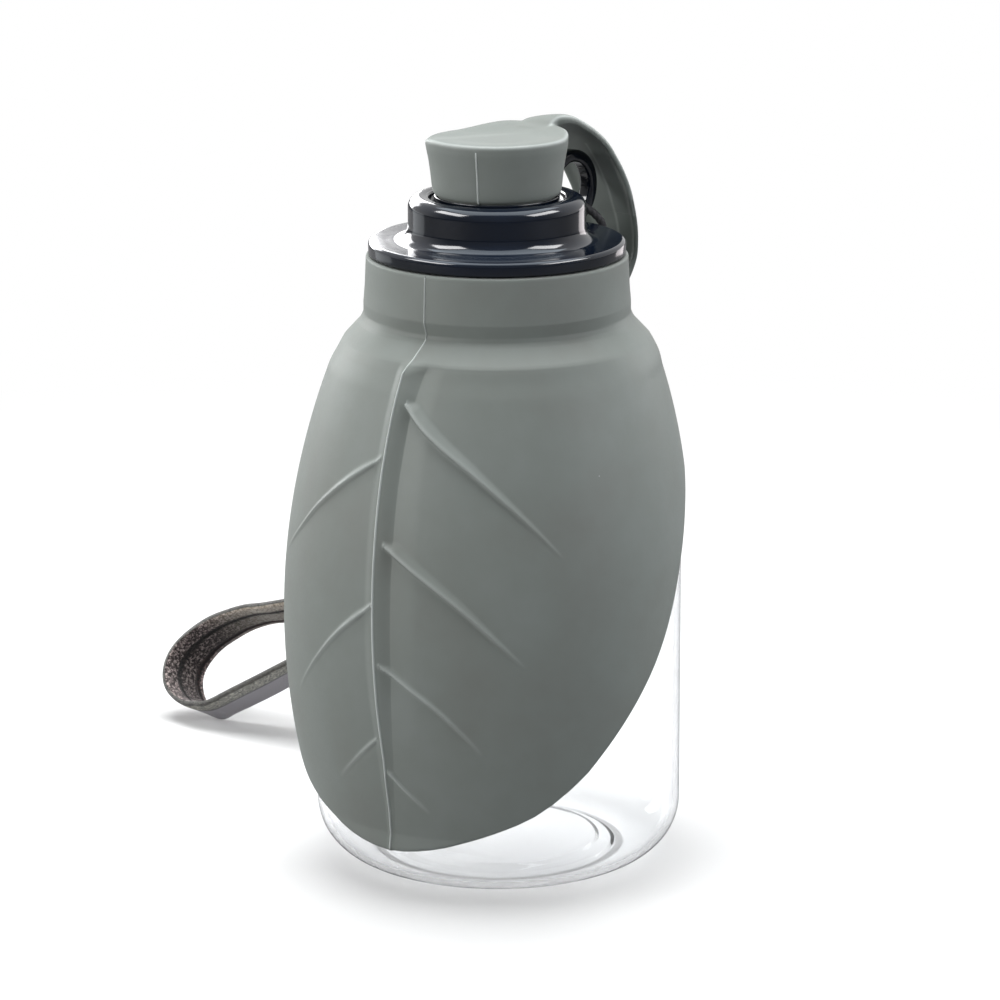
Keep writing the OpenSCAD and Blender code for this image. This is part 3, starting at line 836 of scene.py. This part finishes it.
def make_ring():
    """The eye ring: a flat annulus with rounded edges, its lower third sunk into the cap."""
    round_r = 0.7
    side, outside, inside = RING_W / 2 - round_r, RING_R - round_r, EYE_R + round_r
    section = []
    for r, x, start in ((outside, side, 0), (inside, side, 90), (inside, -side, 180),
                        (outside, -side, 270)):
        for a in np.radians(np.linspace(start, start + 90, 7)):
            section.append((r + round_r * math.cos(a), x + round_r * math.sin(a)))
    segments = 128
    turns = [2 * math.pi * i / segments for i in range(segments)]
    points = [(x, RING_Y + r * math.cos(a), RING_Z + r * math.sin(a))
              for a in turns for r, x in section]
    faces = grid_faces(segments, len(section), wrap_rows=True, wrap_columns=True)
    make_object("eye_ring", from_cap(points) * MM, faces, NAVY, "cap", "navy_plastic")


make_cap()
make_ring()
make_object("cap_thread", *thread(wall_r=20.8, depth=-1.1, start_z=110.2), NAVY, "cap",
            "navy_plastic")
NODES["cap_seal"].data.materials.clear()
NODES["cap_seal"].data.materials.append(SEAL)

# ------------------------ stopper and strap

HEAD_TOP = 142.4
HEAD_R = 13.7
# The stopper's side as radius and height, from the seat up to the crown's edge.
STOPPER_SIDE = [(10.6, 126.6), (10.7, 126.7), (11.3, 130.7), (11.45, 131.25), (12.0, 131.35),
                (12.3, 131.75), (12.45, 132.6), (12.75, 135.5), (13.1, 138.0), (13.6, 140.6)]
# The strap's near edge in the cap's frame: half width, reach and height from the crown down to
# its foot, with the height of its far edge below the near one, because the strap is rolled a
# little at its root.
STRAP = [
    (5.6, 9.0, 142.75, 0.2), (4.7, 10.7, 143.2, 0.3), (4.5, 12.1, 144.35, 1.3),
    (5.3, 14.2, 145.2, 2.1), (5.8, 17.3, 144.65, 1.9), (6.2, 20.1, 143.3, 1.2),
    (6.6, 23.6, 141.2, 0.4), (6.9, 27.1, 138.4, 0.1), (7.0, 30.1, 134.9, 0.0),
    (7.0, 32.6, 131.5, 0.0), (6.8, 34.8, 127.9, 0.0), (6.5, 36.4, 124.4, 0.0),
    (6.1, 37.8, 121.1, 0.0), (5.8, 38.6, 117.7, 0.0), (5.4, 38.8, 113.6, 0.0),
    (5.0, 37.6, 110.2, 0.0), (4.8, 35.6, 107.9, 0.0), (4.7, 32.6, 107.3, 0.0),
    (4.6, 29.2, 108.0, 0.0), (4.6, 25.3, 109.4, 0.0)]
# The place in STRAP where its upper and its lower piece overlap.
SPLIT_AT = 11.0
# Its thickness at the rim, how much thinner it is at the foot, how deep its inner face is
# hollowed, how much wider its far edge is than its near one, and how far its outer face bows.
STRAP_T, STRAP_THINNER, STRAP_HOLLOW, STRAP_WIDER, STRAP_BOW = 2.35, 0.35, 1.25, 1.6, 0.35


def head_top_z(x, y):
    """Height of the stopper's top: level in front, lower at the back left, rising to the strap."""
    back_left = between(y * 0.45 - x * 0.9, -1.0, 8.0) * (1 - between(y, 3, 11))
    rise = between(y, 4.0, 11.5) * between(x, -12.5, -5.5)
    return HEAD_TOP + 0.25 - 0.85 * back_left + 0.62 * rise


def ring_on_top(r, angles, drop):
    """Points of a circle on the stopper's top, lowered by drop. The angles start in front."""
    spots = [(r * math.sin(a), -r * math.cos(a)) for a in angles]
    return [(x, y, head_top_z(x, y) - drop) for x, y in spots]


def make_stopper_head():
    segments, rounding, dish = 200, 0.75, 0.22
    angles = np.arange(segments) * 2 * math.pi / segments
    rows = [[(r * math.sin(a), -r * math.cos(a), z) for a in angles] for r, z in STOPPER_SIDE]
    for turn in np.radians(np.linspace(0, 84, 9)):
        rows.append(ring_on_top(HEAD_R - rounding + rounding * math.cos(turn), angles,
                                rounding - rounding * math.sin(turn)))
    for r in np.linspace(HEAD_R - rounding - 0.3, 0.3, 28):
        rows.append(ring_on_top(r, angles, dish * between(r, HEAD_R - 1.4, HEAD_R - 5.9)))
    faces = grid_faces(len(rows), segments, wrap_columns=True)
    faces += end_faces(len(rows), segments)[::-1]
    return [p for row in rows for p in row], faces


def strap_rings(start, end, steps, shrink=0.0):
    """Rings of the strap: a bowed outer face, round edges and a hollow inner face with a rim."""
    samples = np.array([catmull(STRAP, u) for u in np.linspace(start, end, steps + 1)])
    way = unit(np.gradient(samples[:, 1:3], axis=0))
    rings = []
    count = 26
    for i, (half, y, z, drop) in enumerate(samples):
        at = mix(start, end, i / steps)
        out = np.array([-way[i][1], way[i][0]])
        if out[1] < 0 and at < 3:
            out = -out
        rim_t = STRAP_T - STRAP_THINNER * between(at, 12, 16) - 2 * shrink
        hollow = STRAP_HOLLOW * between(at, 2.2, 4.7) * (1 - between(at, 13.5, 15.5))
        far = half + STRAP_WIDER * between(at, 4, 7) * (1 - between(at, 12, 15))
        bow = STRAP_BOW * (1 - between(at, 11, 15))
        ring = []
        for sign in (1, -1):
            for k in range(count + 1):
                u = sign * (1 - 2 * k / count)
                edge = math.sqrt(max(0.0, 1 - abs(u) ** 7))
                swell = bow * (1 - u * u) if sign > 0 else hollow * between(abs(u), 1, 0.7)
                d = -rim_t / 2 + sign * (rim_t / 2 * edge) + swell - shrink
                x = u * ((half if u > 0 else far) - shrink)
                ring.append((x, y + out[0] * d, z + out[1] * d - drop * (1 - u) / 2))
        rings.append(ring)
    return np.array(rings)


def remeshed(name, parts, voxel, rounds):
    """One skin over overlapping closed parts, softened where they meet, as a moulding is."""
    points, faces = [], []
    for part_points, part_faces in parts:
        base = len(points)
        points.extend(part_points)
        faces.extend(tuple(base + i for i in face) for face in part_faces)
    rough = make_object(name + "_rough", from_cap(points) * MM, faces, None, shade=False)
    remesh = rough.modifiers.new("remesh", "REMESH")
    remesh.mode = "VOXEL"
    remesh.voxel_size = voxel * MM
    soften = rough.modifiers.new("soften", "SMOOTH")
    soften.factor = 0.5
    soften.iterations = rounds
    bpy.context.view_layer.update()
    solved = rough.evaluated_get(bpy.context.evaluated_depsgraph_get())
    made = bpy.data.meshes.new_from_object(solved)
    bpy.data.objects.remove(rough)
    made.name = name
    made.materials.clear()
    made.materials.append(SILICONE)
    made.polygons.foreach_set("use_smooth", [True] * len(made.polygons))
    obj = bpy.data.objects.new(name, made)
    bpy.context.scene.collection.objects.link(obj)
    return obj


def mark_painted_highlights(obj, lines):
    """Paints a highlight on the skin near each line in the cap's frame, with a half width and a
    strength.
    """
    where = np.empty(len(obj.data.vertices) * 3)
    obj.data.vertices.foreach_get("co", where)
    where = where.reshape(-1, 3) / MM
    crest = np.zeros(len(where))
    for line, half_width, strength in lines:
        near = np.full(len(where), 1e9)
        for point in from_cap(line):
            near = np.minimum(near, ((where - point) ** 2).sum(1))
        crest = np.maximum(crest, strength * np.exp(-near / half_width ** 2))
    set_painted_highlight(obj.data, crest)


# Points of a strap ring on its near edge and on the inner face beside its rim.
NEAR_EDGE, INNER_LINE = 1, 42


def make_stopper():
    rings = strap_rings(0.0, SPLIT_AT + 0.6, 150)
    strap = (rings.reshape(-1, 3), tube_faces(*rings.shape[:2]))
    obj = remeshed("stopper_and_strap", [make_stopper_head(), strap], voxel=0.26, rounds=7)
    # Painted highlights along the stopper's rim, the strap's near edge and the line inside its rim.
    rim = ring_on_top(HEAD_R - 0.2, np.radians(np.linspace(-62, 142, 200)), 0.2)
    mark_painted_highlights(obj, [(rim, 0.36, 0.5), (rings[6:, NEAR_EDGE], 0.34, 0.55),
                      (rings[92:, INNER_LINE], 0.26, 0.35)])
    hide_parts("stopper")
    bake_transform(obj)


def make_strap_lower():
    rings = strap_rings(SPLIT_AT - 0.5, len(STRAP) - 1, 110, shrink=0.05)
    obj = make_object("strap_lower", from_cap(rings.reshape(-1, 3)) * MM,
                      tube_faces(*rings.shape[:2]), SILICONE, None, "grey_silicone")
    # Painted highlights along the strap's near edge and the line inside its rim.
    mark_painted_highlights(obj, [(rings[:, NEAR_EDGE], 0.3, 0.4), (rings[:40, INNER_LINE], 0.26, 0.35)])
    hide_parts("strap_foot")
    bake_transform(obj)


def make_seam():
    """A fine parting ridge up the stopper's side, in the cap's frame."""
    bearing, width, height, sunk = math.radians(21.6), 0.34, 0.16, 0.3
    heights = np.linspace(131.0, 141.4, 30)
    radii = np.interp(heights, [z for r, z in STOPPER_SIDE] + [141.45],
                      [r for r, z in STOPPER_SIDE] + [13.66])
    x, y = math.sin(bearing), -math.cos(bearing)
    line = np.array([(r * x, r * y, z) for r, z in zip(radii, heights)])
    outward, across = frames_along(line, np.array([x, y, 0]))
    points = []
    for i in range(len(line)):
        fade = min(1.0, min(i, len(line) - 1 - i) / 3 + 0.15)
        for a in np.radians([0, 45, 90, 135, 180, 270]):
            rise = max(0.0, math.sin(a)) * height * fade + min(0.0, math.sin(a)) * sunk
            points.append(line[i] + across[i] * math.cos(a) * width / 2 + outward[i] * rise)
    obj = make_object("stopper_seam", from_cap(points) * MM, tube_faces(len(line), 6), SILICONE,
                      "plug", "grey_silicone")
    # The seam's ridge is lightened all along as a painted highlight.
    set_painted_highlight(obj.data, [0.6] * len(points))


make_stopper()
make_strap_lower()
make_seam()

# ------------------------ floor, backdrop, light

FLOOR_BOUNCE = (0.24, 0.24, 0.245)
FLOOR_HALF = 4.0
WORLD_LIGHT = 0.16
# Distances from the bottle's axis in metres, over which the painted shade under it and the table
# end.
UNDER_BOTTLE = (0.030, 0.050)
TABLE_FADE = (0.16, 0.42)


def ray_kinds(tree):
    """The light path's outputs, and one that says that a ray is from the camera or through the
    bottle."""
    path = add_node(tree, "LightPath").outputs
    return path, calculate(tree, "MAXIMUM", path["Is Camera Ray"], path["Is Transmission Ray"])


def make_floor():
    """A white table: to the camera it is white further off and keeps the object's shadow near by.

    A darker one than the one that is seen throws light back, which keeps the object's shading."""
    material, tree, shader = new_material("floor")
    grain = add_node(tree, "TexNoise", {"Scale": 60.0, "Detail": 2.0}).outputs["Fac"]
    tint = ramp(tree, grain, [(0.0, grey(0.79)), (1.0, grey(0.81))])
    seen = ray_kinds(tree)[1]
    place = add_node(tree, "NewGeometry").outputs["Position"]
    distance = add_node(tree, "VectorMath", {0: place}, operation="LENGTH").outputs["Value"]
    # Painted shadow: the table is darker under the clear bottle, which casts no lamp shadow of its
    # own.
    under = map_range(tree, distance, 0.86, 1.0, *UNDER_BOTTLE, interpolation_type="SMOOTHSTEP")
    shaded = mix_colours(tree, 1.0, tint, under, blend_type="MULTIPLY")
    feed(tree, shader, {
        "Base Color": mix_colours(tree, seen, (*FLOOR_BOUNCE, 1), shaded),
        "Roughness": 0.7, "Specular IOR Level": 0.1})
    fade = map_range(tree, distance, 0.0, 1.0, *TABLE_FADE, interpolation_type="SMOOTHSTEP")
    white = add_node(tree, "Emission", {"Strength": 1.0})
    chosen = add_node(tree, "MixShader", {"Fac": calculate(tree, "MULTIPLY", fade, seen),
                                          1: shader.outputs["BSDF"], 2: white.outputs["Emission"]})
    feed(tree, tree.nodes["Material Output"], {"Surface": chosen.outputs["Shader"]})
    corners = [(x * FLOOR_HALF, y * FLOOR_HALF, 0) for x, y in ((-1, -1), (1, -1), (1, 1), (-1, 1))]
    make_object("floor", corners, [(0, 1, 2, 3)], material, shade=False)


def make_world():
    """White to the camera and through the bottle. Gloss sees the white backdrop behind and
    overhead, and the dimmer room in front."""
    world = bpy.data.worlds.new("world")
    world.use_nodes = True
    tree = world.node_tree
    back = tree.nodes["Background"]
    feed(tree, back, {"Color": (0.97, 0.985, 1.0, 1), "Strength": WORLD_LIGHT})
    white = add_node(tree, "Background", {"Color": (1, 1, 1, 1), "Strength": 1.0})
    path, seen = ray_kinds(tree)
    place = add_node(tree, "TexCoord").outputs["Generated"]
    behind = add_node(tree, "VectorMath", {0: place, 1: tuple(VIEW_AWAY)}, operation="DOT_PRODUCT")
    room = map_range(tree, behind.outputs["Value"], 0.16, 1.0, -0.55, 0.35,
                     interpolation_type="SMOOTHSTEP")
    gloss = calculate(tree, "MULTIPLY", path["Is Glossy Ray"], room)
    chosen = add_node(tree, "MixShader", {
        "Fac": calculate(tree, "MAXIMUM", seen, gloss),
        1: back.outputs["Background"], 2: white.outputs["Background"]})
    feed(tree, tree.nodes["World Output"], {"Surface": chosen.outputs["Shader"]})
    bpy.context.scene.world = world


make_floor()
make_world()


def area_light(name, view_place, target, size, power, colour=WHITE):
    """A lamp of size (width, height), placed by metres right, away and up in the photo's view."""
    right, away, up = view_place
    place = VIEW_RIGHT * right + VIEW_AWAY * away + UP * up
    data = bpy.data.lights.new(name, "AREA")
    data.energy = power
    data.color = colour
    data.shape = "RECTANGLE"
    data.size, data.size_y = size
    light = bpy.data.objects.new(name, data)
    bpy.context.scene.collection.objects.link(light)
    light.location = place
    light.rotation_euler = (Vector(target) - place).to_track_quat("-Z", "Y").to_euler()
    return light


MIDDLE, SHOULDER, TOWER = (0, 0, 0.08), (0, 0, 0.1), (0, 0, 0.125)
LAMPS = [
    area_light("side_left", (-0.92, -0.42, 0.34), MIDDLE, (0.66, 0.12), 6.2, (1.0, 0.995, 0.98)),
    area_light("side_right", (0.92, -0.40, 0.36), MIDDLE, (0.66, 0.12), 4.4, (0.95, 0.975, 1.0)),
    area_light("card_left", (-0.80, 0.72, 0.30), MIDDLE, (0.60, 0.30), 4.2),
    area_light("card_right", (0.85, 0.55, 0.30), MIDDLE, (0.40, 0.30), 1.8, (1.0, 0.97, 0.98)),
    area_light("top", (0.0, 0.16, 0.95), SHOULDER, (0.80, 0.80), 12.5, (0.985, 0.995, 1.0))]

# The lamps leave out the polished pieces, which have a fill and cards of their own.
GLOSSY_PIECES = bpy.data.collections.new("glossy_pieces")
MATTE_PIECES = bpy.data.collections.new("matte_pieces")
for piece in ("cap_body", "eye_ring"):
    GLOSSY_PIECES.objects.link(bpy.data.objects[piece])
    MATTE_PIECES.objects.link(bpy.data.objects[piece])
for entry in MATTE_PIECES.collection_objects:
    entry.light_linking.link_state = "EXCLUDE"
for lamp in LAMPS:
    lamp.light_linking.receiver_collection = MATTE_PIECES


def gloss_card(name, view_place, size, strength, colour=WHITE):
    """A studio card that only the polished cap mirrors. It adds no light to any colour."""
    power = strength * math.pi * size[0] * size[1]
    card = area_light(name, view_place, TOWER, size, power, colour)
    card.visible_diffuse = False
    card.visible_camera = False
    card.visible_transmission = False
    card.light_linking.receiver_collection = GLOSSY_PIECES


gloss_card("gloss_left", (-0.70, -0.15, 0.83), (0.72, 0.30), 17.0)
gloss_card("gloss_right", (0.70, -0.15, 0.83), (0.72, 0.30), 15.0)
gloss_card("gloss_back_left", (-0.22, 0.52, 0.26), (0.38, 0.26), 9.5, (0.98, 0.98, 1.0))
gloss_card("gloss_sky", (0.0, 0.10, 1.0), (1.1, 1.1), 3.4, (0.80, 0.91, 1.0))
gloss_card("gloss_low_left", (-0.40, 0.25, 0.07), (0.25, 0.14), 0.9, (0.90, 0.96, 1.0))
gloss_card("gloss_low_right", (0.35, 0.43, 0.06), (0.20, 0.20), 2.8, (1.0, 0.93, 0.95))
# The lamps' plain light on the cap, without their mirror images.
cap_fill = area_light("cap_fill", (0.0, -0.25, 0.95), SHOULDER, (0.80, 0.80), 19.0)
cap_fill.visible_glossy = False
cap_fill.light_linking.receiver_collection = GLOSSY_PIECES

bpy.context.scene.view_settings.view_transform = "Standard"
